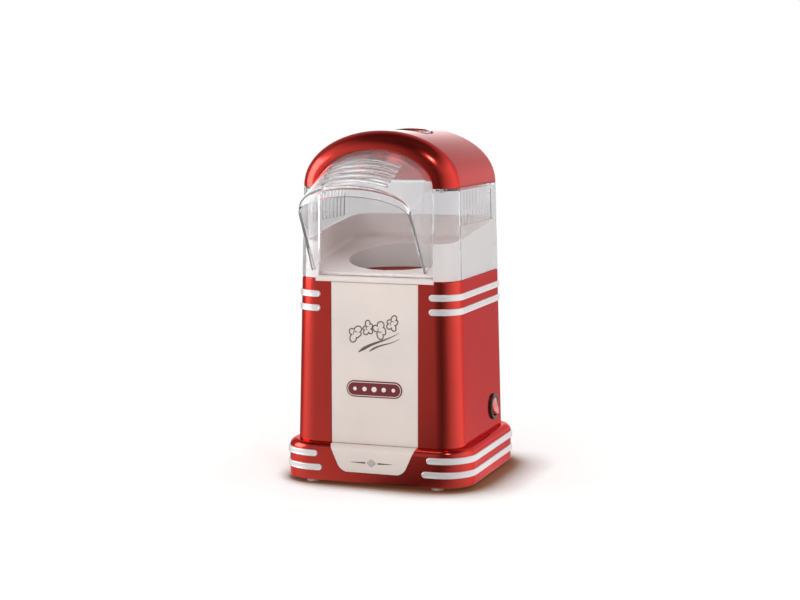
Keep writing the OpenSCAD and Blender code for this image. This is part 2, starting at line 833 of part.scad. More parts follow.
plinth();
base_cover();
foot(-1, -1);  // front_left_foot
foot(1, -1);  // front_right_foot
foot(-1, 1);  // rear_left_foot
foot(1, 1);  // rear_right_foot
base_screws();
body_shell();
shell_screws();
front_panel();
plinth_plate();
body_strip(0, -1);  // left_high_body_trim
body_strip(1, -1);  // left_low_body_trim
body_strip(0, 1);  // right_high_body_trim
body_strip(1, 1);  // right_low_body_trim
plinth_strip(0, -1);  // left_high_plinth_trim
plinth_strip(1, -1);  // left_low_plinth_trim
plinth_strip(0, 1);  // right_high_plinth_trim
plinth_strip(1, 1);  // right_low_plinth_trim
chute_liner();
liner_screws();
clear_cabin();
chute_hood();
dome_roof();
roof_screws();
measuring_cup();
switch_housing();
switch_rocker();
switch_terminals();
popping_chamber();
chamber_gasket();
heater_housing();
heater_screws();
heater_former();
heater_coil();
fan_duct();
duct_screws();
fan_impeller();
motor_shaft();
motor_can();
motor_end_cap();
motor_bracket();
motor_screws();
rectifier_board();
rectifier_diodes();
thermostat();
thermal_fuse();
terminal_block();
cord_gland();
gland_nut();
switch_wire();
heater_wire();
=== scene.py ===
import json
from math import acos, atan, cos, dist, hypot, pi, radians, sin, sqrt, tan, tau

import bmesh
import bpy
from mathutils import Matrix, Vector


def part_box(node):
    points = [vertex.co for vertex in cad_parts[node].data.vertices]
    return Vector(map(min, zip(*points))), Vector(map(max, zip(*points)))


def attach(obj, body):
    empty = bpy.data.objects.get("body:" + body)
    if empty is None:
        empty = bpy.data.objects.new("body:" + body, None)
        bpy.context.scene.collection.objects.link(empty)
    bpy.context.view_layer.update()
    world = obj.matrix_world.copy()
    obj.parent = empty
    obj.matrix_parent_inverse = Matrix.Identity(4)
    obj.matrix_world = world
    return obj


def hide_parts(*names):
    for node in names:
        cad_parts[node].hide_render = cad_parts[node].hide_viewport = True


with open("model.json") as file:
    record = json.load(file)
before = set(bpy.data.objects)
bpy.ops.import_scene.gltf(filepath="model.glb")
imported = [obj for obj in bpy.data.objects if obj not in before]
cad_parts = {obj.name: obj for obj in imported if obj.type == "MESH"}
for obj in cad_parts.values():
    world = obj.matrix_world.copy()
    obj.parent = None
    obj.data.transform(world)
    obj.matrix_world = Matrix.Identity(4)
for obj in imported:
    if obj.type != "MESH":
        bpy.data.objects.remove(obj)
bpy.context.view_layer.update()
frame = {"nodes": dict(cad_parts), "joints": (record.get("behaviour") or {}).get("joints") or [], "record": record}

# Shapes are worked out in millimetres and scaled once, where a mesh is made.
MM = 0.001


def box_mm(node):
    """Lowest and highest corner of a CAD node, in millimetres."""
    low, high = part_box(node)
    return low / MM, high / MM


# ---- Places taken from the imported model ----

plinth_low, plinth_high = box_mm("plinth")
shell_low, shell_high = box_mm("body_shell")
cabin_low, cabin_high = box_mm("clear_cabin")
panel_low, panel_high = box_mm("front_panel")
cup_low, cup_high = box_mm("measuring_cup")
roof_high = box_mm("dome_roof")[1]
hood_low = box_mm("chute_hood")[0]
plate_low = box_mm("plinth_plate")[0]
liner_low = box_mm("chute_liner")[0]

# The housing's half width and depth at its foot and at the roof, behind its flat front.
FRONT = shell_low.y
HALF_LOW = shell_high.x
HALF_HIGH = roof_high.x
DEPTH_LOW = shell_high.y - FRONT
DEPTH_HIGH = roof_high.y - FRONT
BODY_LOW = shell_low.z
BODY_TOP = shell_high.z
ROOF_Z = cabin_high.z
ROOF_MID = FRONT + DEPTH_HIGH / 2
AXIS_Y = (cup_low.y + cup_high.y) / 2
PANEL_DEPTH = panel_high.y - FRONT

# Radii, walls and gaps that the CAD uses, and the arched opening at the front.
CORNER = 20.0
WALL = 2.6
CLEAR_WALL = 2.2
PLINTH_CORNER = 28.0
PLINTH_ROUND = 6.0
PLINTH_WALL = 2.8
PANEL_GAP = 0.2
ARCH_HALF = 51.0
ARCH_RISE = 32.0


# ---- Numbers in steps ----

def lerp(a, b, t):
    return a + (b - a) * t


def fractions(steps):
    """From 0 to 1 in equal steps."""
    return [k / steps for k in range(steps + 1)]


def right_angle(steps):
    """Angles from 0 to 90 degrees in equal steps."""
    return [radians(90 * k / steps) for k in range(steps + 1)]


def circle(steps):
    """Angles once round in equal steps."""
    return [tau * k / steps for k in range(steps)]


# ---- Mesh helpers ----

def make(name, data):
    """Object from (points in millimetres, faces), with doubled points joined."""
    points, faces = data
    mesh = bpy.data.meshes.new(name)
    mesh.from_pydata([Vector(p) * MM for p in points], [], faces)
    bm = bmesh.new()
    bm.from_mesh(mesh)
    bmesh.ops.remove_doubles(bm, verts=bm.verts, dist=1e-6)
    bmesh.ops.dissolve_degenerate(bm, edges=bm.edges, dist=1e-7)
    bmesh.ops.recalc_face_normals(bm, faces=bm.faces)
    bm.to_mesh(mesh)
    bm.free()
    obj = bpy.data.objects.new(name, mesh)
    bpy.context.scene.collection.objects.link(obj)
    return obj


def join(parts):
    """One (points, faces) pair from several."""
    points, faces = [], []
    for more_points, more_faces in parts:
        start = len(points)
        points.extend(more_points)
        faces.extend([tuple(start + i for i in face) for face in more_faces])
    return points, faces


def skin(rings, loop=False):
    """Faces over closed rings; the ends are capped unless the rings run in a loop."""
    n, count = len(rings[0]), len(rings)
    faces = []
    for i in range(count if loop else count - 1):
        a, b = i * n, (i + 1) % count * n
        faces += [(a + k, a + (k + 1) % n, b + (k + 1) % n, b + k) for k in range(n)]
    if not loop:
        faces += [tuple(range(n)), tuple(range((count - 1) * n, count * n))]
    return [p for ring in rings for p in ring], faces


def slab(upper, lower):
    """Closed plate between two grids of points with the same rows and columns."""
    rows, cols = len(upper), len(upper[0])
    half = rows * cols
    faces = []
    for r in range(rows - 1):
        for c in range(cols - 1):
            a = r * cols + c
            quad = (a, a + 1, a + cols + 1, a + cols)
            faces += [quad, tuple(half + i for i in quad)]
    rim = list(range(cols)) + [r * cols + cols - 1 for r in range(1, rows)]
    rim += [(rows - 1) * cols + c for c in range(cols - 2, -1, -1)]
    rim += [r * cols for r in range(rows - 2, 0, -1)]
    for i, a in enumerate(rim):
        b = rim[(i + 1) % len(rim)]
        faces.append((a, b, half + b, half + a))
    return [p for grid in (upper, lower) for row in grid for p in row], faces


def arched_shell(outer, inner, closed_rear):
    """Sheet with thickness from equal lists of open arcs, rear to front; the last two
    arcs meet in the front rim."""
    sections = outer + inner[::-1]
    n, count = len(outer[0]), len(outer)
    total = 2 * count
    faces = []
    for i in range(total - 1):
        a, b = i * n, (i + 1) * n
        faces += [(a + k, a + k + 1, b + k + 1, b + k) for k in range(n - 1)]
    for i in range(count - 1):
        near, far = i * n, (i + 1) * n
        under, beyond = (total - 1 - i) * n, (total - 2 - i) * n
        faces += [(near + k, far + k, beyond + k, under + k) for k in (0, n - 1)]
    last = (total - 1) * n
    if closed_rear:
        faces += [tuple(range(n)), tuple(range(last, last + n)), (0, n - 1, last + n - 1, last)]
    else:
        faces += [(k, k + 1, last + k + 1, last + k) for k in range(n - 1)]
    return [p for arc in sections for p in arc], faces


def block(half, y0, y1, z0, z1):
    """Box across the middle plane."""
    floor, top = [[[Vector((x, y, z)) for x in (-half, half)] for y in (y0, y1)] for z in (z0, z1)]
    return slab(floor, top)


def bore(radius, low, high):
    """Profile of a plain round tool."""
    return [(0, low), (radius, low), (radius, high), (0, high)]


def turned(profile, place, steps=96):
    """Closed (radius, height) profile turned about the Z axis of a placing matrix."""
    return skin([[place @ Vector((r * cos(a), r * sin(a), h)) for r, h in profile]
                 for a in circle(steps)], loop=True)


def bake(obj):
    """Applies every modifier on obj to its mesh."""
    graph = bpy.context.evaluated_depsgraph_get()
    graph.update()
    mesh = bpy.data.meshes.new_from_object(obj.evaluated_get(graph))
    obj.modifiers.clear()
    obj.data = mesh
    mesh.name = obj.name


def combine(obj, data, operation="DIFFERENCE"):
    """Cuts a solid, given as points and faces, out of obj, or joins it on."""
    tool = make("tool", data)
    modifier = obj.modifiers.new("combine", "BOOLEAN")
    modifier.operation = operation
    modifier.solver = "EXACT"
    modifier.object = tool
    bake(obj)
    bpy.data.objects.remove(tool)


def soften(obj, width, angle, segments=3):
    """Rounds the edges of obj that are sharper than angle."""
    modifier = obj.modifiers.new("soften", "BEVEL")
    modifier.width = width * MM
    modifier.segments = segments
    modifier.limit_method = "ANGLE"
    modifier.angle_limit = radians(angle)
    bake(obj)


def dress(obj, slot, *nodes, body="base", sharp=35):
    """Shades a piece, gives it its material, hangs it on its body and hides the nodes it replaces."""
    obj.data.shade_smooth()
    obj.data.set_sharp_from_angle(angle=radians(sharp))
    shading = obj.modifiers.new("shading", "WEIGHTED_NORMAL")
    shading.keep_sharp = True
    obj.data.materials.clear()
    obj.data.materials.append(LOOKS[slot])
    obj.visible_shadow = slot not in CLEAR
    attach(obj, body)
    if nodes:
        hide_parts(*nodes)


# ---- Outlines ----

def plan(half, front, back, radius, level):
    """Rounded rectangle at a level, anticlockwise from its right front corner."""
    side_steps, corner_steps = 6, 12
    centres = ((half - radius, front + radius), (half - radius, back - radius),
               (radius - half, back - radius), (radius - half, front + radius))
    points = []
    for i, (x, y) in enumerate(centres):
        for t in fractions(corner_steps):
            a = radians(90 * (i - 1 + t))
            points.append(Vector((x + radius * cos(a), y + radius * sin(a), level)))
        turn = radians(90 * i)
        next_x, next_y = centres[(i + 1) % 4]
        goal = Vector((next_x + radius * cos(turn), next_y + radius * sin(turn), level))
        start = points[-1]
        points += [start.lerp(goal, t) for t in fractions(side_steps)[1:-1]]
    return points


def housing_size(z):
    """Half width and depth of the housing at a level."""
    t = (z - BODY_LOW) / (ROOF_Z - BODY_LOW)
    return lerp(HALF_LOW, HALF_HIGH, t), lerp(DEPTH_LOW, DEPTH_HIGH, t)


def housing(z, inset):
    """Housing line at a level, moved inward by inset."""
    half, depth = housing_size(z)
    return plan(half - inset, FRONT + inset, FRONT + depth - inset, max(CORNER - inset, 0.5), z)


def plinth_line(z, inset):
    """Plinth line at a level, moved inward by inset."""
    return plan(plinth_high.x - inset, plinth_low.y + inset, plinth_high.y - inset,
                max(PLINTH_CORNER - inset, 0.5), z)


def quarter(radius, steps):
    """(inset, drop) pairs down from the top of a rounded edge to its side."""
    return [(radius * (1 - sin(a)), radius * (1 - cos(a))) for a in right_angle(steps)]


def arch(half, foot_half, foot, spring, rise, legs=1):
    """Half ellipse on straight legs, from its right foot over the top to its left foot."""
    steps = 48
    right = [(lerp(foot_half, half, t), lerp(foot, spring, t)) for t in fractions(legs)[:-1]]
    over = [(half * cos(pi * k / steps), spring + rise * sin(pi * k / steps))
            for k in range(steps + 1)]
    return right + over + [(-x, z) for x, z in right[::-1]]


def upright(outline, y):
    """An outline as points in the vertical plane at depth y."""
    return [Vector((x, y, z)) for x, z in outline]


# ---- Materials ----

def wire(tree, kind, inputs=None, **settings):
    """Adds a shader node; inputs are constants or sockets to link."""
    node = tree.nodes.new("ShaderNode" + kind)
    for key, value in settings.items():
        setattr(node, key, value)
    for key, value in (inputs or {}).items():
        if isinstance(value, bpy.types.NodeSocket):
            tree.links.new(value, node.inputs[key])
        else:
            node.inputs[key].default_value = value
    return node


def ramp(tree, value, start, end, low=0.0, high=1.0):
    """Goes from low to high while value goes from start to end, and no further."""
    return wire(tree, "MapRange", {"Value": value, "From Min": start, "From Max": end,
                                   "To Min": low, "To Max": high}).outputs[0]


def maths(tree, operation, first, second):
    return wire(tree, "Math", {0: first, 1: second}, operation=operation).outputs[0]


LOOKS = {}


class Look:
    """A Principled material, kept in LOOKS, that is fed by noise in the object's own metres."""

    def __init__(self, name, **sockets):
        self.material = LOOKS[name] = bpy.data.materials.new(name)
        self.material.use_nodes = True
        self.tree = self.material.node_tree
        self.shader = self.tree.nodes["Principled BSDF"]
        for key, value in sockets.items():
            self.shader.inputs[key.replace("_", " ")].default_value = value
        self.coords = self.add("TexCoord").outputs["Object"]

    def add(self, kind, inputs=None, **settings):
        return wire(self.tree, kind, inputs, **settings)

    def feed(self, key, value):
        self.tree.links.new(value, self.shader.inputs[key])

    def noise(self, scale, detail, stretch=(1, 1, 1)):
        mapping = self.add("Mapping", {"Vector": self.coords, "Scale": stretch})
        return self.add("TexNoise", {"Vector": mapping.outputs[0], "Scale": scale,
                                     "Detail": detail}).outputs[0]

    def cells(self, scale):
        """Random value per cell."""
        node = self.add("TexVoronoi", {"Vector": self.coords, "Scale": scale})
        return self.add("SeparateColor", {0: node.outputs["Color"]}).outputs[0]

    def spread(self, value, low=0.0, high=1.0, start=0.3, end=0.7):
        """Spreads noise, which lies mostly between 0.3 and 0.7, from low to high."""
        return ramp(self.tree, value, start, end, low, high)

    def blend(self, value, first, second):
        """From the first colour to the second as value goes from 0 to 1."""
        first, second = [c if isinstance(c, bpy.types.NodeSocket) else (*c, 1.0)
                         for c in (first, second)]
        return self.add("Mix", {0: value, 6: first, 7: second}, data_type="RGBA").outputs[2]

    def bump(self, height, depth, target="Normal"):
        """Raises the surface by depth millimetres where height is 1."""
        node = self.add("Bump", {"Height": height, "Distance": depth * MM})
        self.feed(target, node.outputs[0])


def shade(colour, factor):
    return tuple(min(1.0, c * factor) for c in colour)


def lacquer(name, colour, coat, coat_ior, edge_red):
    """Metallic lacquer: fine flakes under a clear coat with a slight orange peel."""
    look = Look(name, Metallic=0.95, Coat_Weight=coat, Coat_Roughness=0.04, Coat_IOR=coat_ior,
                Specular_Tint=(edge_red, 0.06, 0.04, 1.0))
    flakes = look.cells(2600)
    cloud = look.spread(look.noise(14, 2))
    base = look.blend(cloud, shade(colour, 0.96), shade(colour, 1.04))
    glint = look.spread(flakes, 0.0, 0.12, 0.0, 1.0)
    look.feed("Base Color", look.blend(glint, base, shade(colour, 1.5)))
    look.feed("Roughness", look.spread(flakes, 0.17, 0.22, 0.0, 1.0))
    look.bump(flakes, 0.0012)
    look.bump(look.noise(420, 1), 0.004, target="Coat Normal")


def moulded(name, colour, rough, grain, grain_scale=1500, **sockets):
    """Moulded plastic or rubber: mottled tone, fine grain and uneven gloss."""
    look = Look(name, **sockets)
    tone = look.spread(look.noise(22, 3))
    fine = look.noise(grain_scale, 3)
    base = look.blend(tone, shade(colour, 0.955), shade(colour, 1.03))
    look.feed("Base Color", look.blend(look.spread(fine, 0.0, 0.3), base, shade(colour, 0.9)))
    look.feed("Roughness", look.spread(look.noise(160, 3), rough * 0.85, rough * 1.15))
    look.bump(fine, grain)


def metal(name, colour, rough, stretch, scale, groove):
    """Bare metal: grooves across the axis that stretch multiplies most, and dull patches."""
    look = Look(name, Metallic=1.0)
    brush = look.noise(scale, 4, stretch)
    patch = look.spread(look.noise(30, 3))
    base = look.blend(patch, shade(colour, 0.9), colour)
    look.feed("Base Color", look.blend(look.spread(brush, 0.0, 0.4), base, shade(colour, 0.8)))
    look.feed("Roughness", look.spread(brush, rough * 0.75, rough * 1.3))
    look.bump(brush, groove)


def clear(name, colour, rough, ior, ripple):
    """Clear moulded plastic with slow ripples and a faint haze."""
    look = Look(name, Transmission_Weight=0.95, IOR=ior)
    haze = look.noise(45, 3)
    look.feed("Base Color", look.blend(look.spread(haze), colour, shade(colour, 1.02)))
    look.feed("Roughness", look.spread(haze, rough, rough + 0.05))
    look.bump(look.noise(60, 1), ripple)


lacquer("red_lacquer", (0.71, 0.055, 0.04), 0.3, 1.5, 0.72)
moulded("cream_plastic", (0.73, 0.645, 0.6), 0.36, 0.006, 1100, Coat_Weight=0.25,
        Coat_Roughness=0.22)
moulded("silver_trim", (0.86, 0.83, 0.83), 0.34, 0.002, 1300, Metallic=0.5, Coat_Weight=0.2,
        Coat_Roughness=0.12)
moulded("white_plastic", (0.85, 0.8, 0.78), 0.42, 0.008)
clear("clear_plastic", (0.98, 0.972, 0.985), 0.0, 1.28, 0.008)
clear("cup_plastic", (0.93, 0.93, 0.95), 0.05, 1.4, 0.02)
moulded("grey_rubber", (0.56, 0.55, 0.53), 0.7, 0.03, 1800)
moulded("black_plastic", (0.018, 0.018, 0.019), 0.36, 0.02, 1400)
# Near black rather than grey, so that the base cover below the plinth reads as the shadow there: painted shade.
moulded("grey_plastic", (0.035, 0.03, 0.03), 0.6, 0.02, 1300)
moulded("rocker_red", (0.8, 0.045, 0.02), 0.2, 0.004, 900, Coat_Weight=0.6, Coat_Roughness=0.08,
        Subsurface_Weight=0.25, Subsurface_Scale=0.002)
metal("spun_aluminium", (0.78, 0.78, 0.79), 0.3, (1, 1, 16), 120, 0.01)
metal("plated_steel", (0.6, 0.6, 0.57), 0.34, (1, 1, 1), 500, 0.004)
metal("ground_steel", (0.5, 0.5, 0.52), 0.22, (1, 1, 20), 700, 0.003)
moulded("silicone", (0.52, 0.1, 0.06), 0.55, 0.01, 900)
moulded("mica", (0.42, 0.33, 0.2), 0.38, 0.03, 380, Coat_Weight=0.4)
metal("nichrome", (0.3, 0.28, 0.27), 0.45, (1, 1, 1), 1600, 0.008)
metal("brass", (0.72, 0.52, 0.22), 0.28, (1, 12, 1), 600, 0.003)
moulded("board_green", (0.03, 0.16, 0.07), 0.34, 0.006, 2400, Coat_Weight=0.5)
moulded("terminal_ivory", (0.66, 0.62, 0.5), 0.4, 0.01)
moulded("wire_sleeve", (0.2, 0.08, 0.04), 0.5, 0.02, 2000)
CLEAR = ("clear_plastic", "cup_plastic")

# The roof has the red lacquer's slot, and mirrors the pale surround less red.
lacquer("roof_lacquer", (0.71, 0.05, 0.038), 0.75, 1.22, 0.5)
# Printed decoration has no material slot of its own in the record.
PRINTS = {"maroon_print": (0.17, 0.014, 0.02), "pale_print": (0.78, 0.72, 0.66),
          "dark_print": (0.13, 0.09, 0.08)}
for print_name, ink in PRINTS.items():
    moulded(print_name, ink, 0.42, 0.004, 1600)


# ---- Plinth ----

def plate_grid(grow, depth):
    """Rows of points over the ledge, the rounded edge and the face of the plinth, at a
    depth below its surface; the outline narrows to the bottom and has round corners."""
    top, face = plinth_high.z, plinth_low.y
    bottom = plate_low.z - grow
    low_half, corner = 28.0, 6.0
    stations = [(FRONT, top, 0, 1)]
    for (inset, drop), a in zip(quarter(PLINTH_ROUND, 8), right_angle(8)):
        stations.append((face + inset, top - drop, -sin(a), cos(a)))
    stations += [(face, lerp(top - PLINTH_ROUND, bottom + corner, t), -1, 0)
                 for t in fractions(5)[1:]]
    stations += [(face, bottom + corner * (1 - sin(a)), -1, 0) for a in right_angle(6)[1:]]
    rows = []
    for y, z, normal_y, normal_z in stations:
        half = lerp(low_half, panel_high.x, (z - plate_low.z) / (top + 1 - plate_low.z)) + grow
        above = z - bottom
        if above < corner:
            half -= corner - sqrt(max(corner ** 2 - (corner - above) ** 2, 0.0))
        rows.append([Vector((lerp(-half, half, t), y - normal_y * depth, z - normal_z * depth))
                     for t in fractions(12)])
    return rows


def build_plinth():
    """Hollow red plinth and the cream plate set in its front."""
    low, top = plinth_low.z, plinth_high.z
    foot_edge = [plinth_line(low + drop, inset) for inset, drop in quarter(1.2, 3)]
    top_edge = [plinth_line(top - drop, inset) for inset, drop in quarter(PLINTH_ROUND, 8)]
    obj = make("red_plinth", skin(foot_edge + top_edge[::-1]))
    hollow = [plinth_line(low - 1, PLINTH_WALL), plinth_line(top - PLINTH_ROUND, PLINTH_WALL),
              plinth_line(top - PLINTH_WALL, PLINTH_ROUND)]
    combine(obj, skin(hollow))
    ledge, window_corner = 19.0, 14.0
    window = [plan(HALF_LOW - ledge, FRONT + ledge, FRONT + DEPTH_LOW - ledge, window_corner, z)
              for z in (top - 12, top + 5)]
    combine(obj, skin(window))
    recess_depth, plate_depth = 1.5, 1.45
    combine(obj, slab(plate_grid(PANEL_GAP, -2.0), plate_grid(PANEL_GAP, recess_depth)))
    dress(obj, "red_lacquer", "plinth")

    plate = make("cream_plate", slab(plate_grid(0.0, 0.0), plate_grid(0.0, plate_depth)))
    soften(plate, 0.55, 50)
    dress(plate, "cream_plastic", "plinth_plate")


def build_feet():
    """Ribbed rubber feet, each with a stem up into the plinth."""
    for name in ("front_left_foot", "front_right_foot", "rear_left_foot", "rear_right_foot"):
        low, high = box_mm(name)
        middle = (low + high) / 2
        r = (high.x - low.x) / 2
        place = Matrix.Translation((middle.x, middle.y, 0))
        ribs = [(0, 0), (r - 1.6, 0), (r - 0.6, 0.25), (r, 0.9), (r, 3), (r - 2.6, 3.02),
                (r - 2.6, high.z - 1.4), (r - 1.8, high.z - 1.3), (r - 1.8, high.z - 0.5),
                (r - 2.3, high.z), (0, high.z)]
        foot = make(name.replace("foot", "rubber_foot"), turned(ribs, place, 48))
        dress(foot, "grey_rubber", name)


def build_gland():
    """Stepped gland in the rear wall of the plinth, open along its middle."""
    low, high = box_mm("cord_gland")
    place = Matrix.Translation((0, plinth_high.y, (low.z + high.z) / 2))
    place = place @ Matrix.Rotation(radians(-90), 4, "X")
    r, out, back = (high.x - low.x) / 2, high.y - plinth_high.y, plinth_high.y - low.y
    profile = [(3.5, -back), (6, -back), (6, 0.3), (r, 0.3), (r, 1.5), (r - 0.5, 1.7), (r - 0.5, 2.1),
               (r, 2.3), (r, out - 1.4), (r - 1.3, out - 0.1), (r - 2, out), (4.4, out),
               (3.5, out - 0.9)]
    gland = make("cord_entry_gland", turned(profile, place, 64))
    dress(gland, "black_plastic", "cord_gland")


# ---- Trim strips ----

def wrap_path(half, front, back, radius, start, side):
    """Points and outward directions round one side, from the front to the rear."""
    step, corner_steps = 2.2, 16
    runs = [((start, front), (half - radius, front), (0, -1)),
            ((half, front + radius), (half, back - radius), (1, 0)),
            ((half - radius, back), (start, back), (0, 1))]
    turns = [((half - radius, front + radius), -90), ((half - radius, back - radius), 0)]
    path = []
    for i, (begin, end, normal) in enumerate(runs):
        length = dist(begin, end)
        count = max(2, round(length / step))
        path += [(lerp(begin[0], end[0], t), lerp(begin[1], end[1], t), normal)
                 for t in fractions(count)]
        if i < len(turns):
            (cx, cy), first = turns[i]
            for t in fractions(corner_steps)[1:-1]:
                a = radians(first + 90 * t)
                normal = (cos(a), sin(a))
                path.append((cx + radius * normal[0], cy + radius * normal[1], normal))
    return [(side * x, y, (side * nx, ny)) for x, y, (nx, ny) in path]


def strip(path, level, half_height, out):
    """Strip along a path, with round ends, a soft rim and a slightly sunk face."""
    lengths = [0.0]
    for a, b in zip(path, path[1:]):
        lengths.append(lengths[-1] + dist(a[:2], b[:2]))
    total = lengths[-1]

    def at(distance, height, proud):
        distance = min(max(distance, 0.0), total)
        i = next((k for k in range(1, len(lengths)) if lengths[k] >= distance), len(lengths) - 1)
        t = (distance - lengths[i - 1]) / max(lengths[i] - lengths[i - 1], 1e-9)
        (x0, y0, n0), (x1, y1, n1) = path[i - 1], path[i]
        nx, ny = lerp(n0[0], n1[0], t), lerp(n0[1], n1[1], t)
        size = hypot(nx, ny)
        return Vector((lerp(x0, x1, t) + nx / size * proud, lerp(y0, y1, t) + ny / size * proud,
                       level + height))

    inner = [d for d in lengths if half_height < d < total - half_height]
    straight = [half_height] + inner + [total - half_height]
    caps = 10
    turns = [pi * k / caps for k in range(1, caps)]
    profile = [(0.0, -0.9), (0.0, out - 0.9), (0.1, out - 0.5), (0.35, out - 0.15), (0.75, out),
               (1.1, out - 0.02), (1.35, out - 0.22), (1.7, out - 0.25)]
    rings = []
    for inset, proud in profile:
        r = half_height - inset
        ring = [at(d, r, proud) for d in straight]
        ring += [at(total - half_height + r * sin(a), r * cos(a), proud) for a in turns]
        ring += [at(d, -r, proud) for d in straight[::-1]]
        ring += [at(half_height - r * sin(a), -r * cos(a), proud) for a in turns]
        rings.append(ring)
    points, faces = skin(rings)
    n, m = len(rings[0]), len(straight)
    faces = faces[:-2]
    for start in (0, (len(rings) - 1) * n):
        for k in range(m - 1):
            upper, lower = start + k, start + 2 * m + caps - 2 - k
            faces.append((upper, upper + 1, lower - 1, lower))
        faces.append(tuple(start + k for k in range(m - 1, m + caps)))
        faces.append(tuple(start + k % n for k in range(2 * m + caps - 2, n + 1)))
    return points, faces


def build_trims():
    """Two strips round each side of the housing and two round each side of the plinth."""
    out = 1.5
    for side, word in ((-1, "left"), (1, "right")):
        for height in ("high", "low"):
            for place in ("body", "plinth"):
                node = f"{word}_{height}_{place}_trim"
                low, high = box_mm(node)
                level, half_height = (low.z + high.z) / 2, (high.z - low.z) / 2
                start = low.x if side > 0 else -high.x
                if place == "body":
                    half, depth = housing_size(level)
                    path = wrap_path(half, FRONT, FRONT + depth, CORNER, start, side)
                else:
                    path = wrap_path(plinth_high.x, plinth_low.y, plinth_high.y, PLINTH_CORNER,
                                     start, side)
                trim = make(node.replace("trim", "strip"), strip(path, level, half_height, out))
                dress(trim, "silver_trim", node, sharp=50)


# ---- Housing ----

def build_housing():
    """Hollow red housing, with a round mouth for the chamber, and the panel set in its front."""
    top_edge = [housing(BODY_TOP - drop, inset) for inset, drop in quarter(1.0, 4)]
    low_edge = [housing(BODY_LOW + drop, inset) for inset, drop in quarter(0.5, 2)]
    obj = make("red_housing", skin(low_edge + top_edge[::-1]))
    combine(obj, skin([housing(BODY_LOW - 1, WALL), housing(BODY_TOP - WALL, WALL)]))
    on_axis = Matrix.Translation((0, AXIS_Y, 0))
    combine(obj, turned(bore(53, BODY_TOP - 8, BODY_TOP + 4), on_axis))
    wide = panel_high.x + PANEL_GAP
    recess = [[Vector((x, y, z)) for x in (-wide, wide)] for y, z in
              ((FRONT - 2, BODY_LOW - 1), (FRONT - 2, BODY_TOP + 2))]
    behind = [[p + Vector((0, 2 + PANEL_DEPTH + 0.05, 0)) for p in row] for row in recess]
    combine(obj, slab(recess, behind))
    combine(obj, turned(bore(10.1, -12, 6), switch_place()))
    dress(obj, "red_lacquer", "body_shell")

    half, low, high = panel_high.x, panel_low.z, panel_high.z
    front = [[Vector((lerp(-half, half, c), FRONT, lerp(low, high, r)))
              for c in fractions(8)] for r in fractions(10)]
    rear = [[p + Vector((0, PANEL_DEPTH, 0)) for p in row] for row in front]
    panel = make("cream_panel", slab(front, rear))
    soften(panel, 0.6, 50)
    dress(panel, "cream_plastic", "front_panel")


# ---- Rocker switch ----

# The rocker turns below the wall's surface, and at rest its upper end is pressed in.
PIVOT_DEPTH = 1.5
REST_TILT = radians(-10)


def switch_place():
    """Frame of the switch: Z out of the right wall, X down it, Y to the rear."""
    joint = next(j for j in frame["joints"] if j["name"] == "rocker_press")
    tilt = atan((HALF_LOW - HALF_HIGH) / (ROOF_Z - BODY_LOW))
    out = Vector((cos(tilt), 0, sin(tilt)))
    down = Vector((sin(tilt), 0, -cos(tilt)))
    turn = Matrix((down, (0, 1, 0), out)).transposed().to_4x4()
    return Matrix.Translation(Vector(joint["pos_m"]) / MM + out * PIVOT_DEPTH) @ turn


def rocker_face(x):
    """Height of the rocker's dished face above its pivot."""
    return 3.8 + 1.3 * (x / 7.5) ** 2


def rocker_back(x):
    """Height of its back, which rises to both ends so that it clears the bezel as it turns."""
    return -2.4 + 0.68 * max(0.0, abs(x) - 2.5)


def build_switch():
    """Round bezel, dished rocker and the two marks printed on it."""
    place = switch_place()
    bezel = [(0, -6), (8.4, -6), (8.4, 1.1), (8.6, 1.7), (9.1, 2.0), (9.7, 2.05), (10.6, 2.0),
             (11.2, 1.7), (11.5, 1.1), (11.5, 0.05), (10, 0.05), (10, -14), (0, -14)]
    dress(make("switch_bezel", turned(bezel, place, 72)), "black_plastic", "switch_housing")
    rock = place @ Matrix.Translation((0, 0, -PIVOT_DEPTH)) @ Matrix.Rotation(REST_TILT, 4, "Y")
    face = ((0.01, 0), (2.5, 0), (5, 0), (6.6, 0), (7.1, 0.06), (7.4, 0.3), (7.5, 0.7))
    rings = [[rock @ Vector((r * cos(a), r * sin(a), rocker_face(r * cos(a)) - drop))
              for a in circle(48)] for r, drop in face]
    rings += [[rock @ Vector((r * cos(a), r * sin(a), rocker_back(r * cos(a))))
               for a in circle(48)] for r in (7.5, 5, 2.5, 0.01)]
    rocker = make("red_rocker", skin(rings))
    dress(rocker, "rocker_red", "switch_rocker", body="rocker")

    off = [(-4.2 + 1.1 * cos(a), 1.1 * sin(a)) for a in circle(24)]
    on = [(4.2, -1.3), (4.2, 0), (4.2, 1.3)]
    marks = []
    for line, closed in ((on, False), (off, True)):
        points = [(Vector((x, y, rocker_face(x))), Vector((0, 0, 1))) for x, y in line]
        marks.append(ribbon(points, 0.42, closed, 0.05, 0.2))
    moved = [([rock @ p for p in points], faces) for points, faces in marks]
    dress(make("rocker_marks", join(moved)), "pale_print", body="rocker")


# ---- Printed decoration ----

def ribbon(line, width, closed, proud, sunk):
    """Thin raised line through (point, surface normal) pairs; width may vary by point."""
    count = len(line)
    sections = []
    for i, (point, normal) in enumerate(line):
        before = line[i - 1 if closed else max(i - 1, 0)][0]
        after = line[(i + 1) % count if closed else min(i + 1, count - 1)][0]
        side = (after - before).cross(normal).normalized()
        w = (width[i] if isinstance(width, list) else width) / 2
        sections.append([point + side * w + normal * proud, point - side * w + normal * proud,
                         point - side * w - normal * sunk, point + side * w - normal * sunk])
    return skin(sections, loop=closed)


def printed(outline, y, width, closed):
    """Raised line of print through (x, z) points on the front face at depth y."""
    line = [(Vector((x, y, z)), Vector((0, -1, 0))) for x, z in outline]
    return ribbon(line, width, closed, 0.08, 0.3)


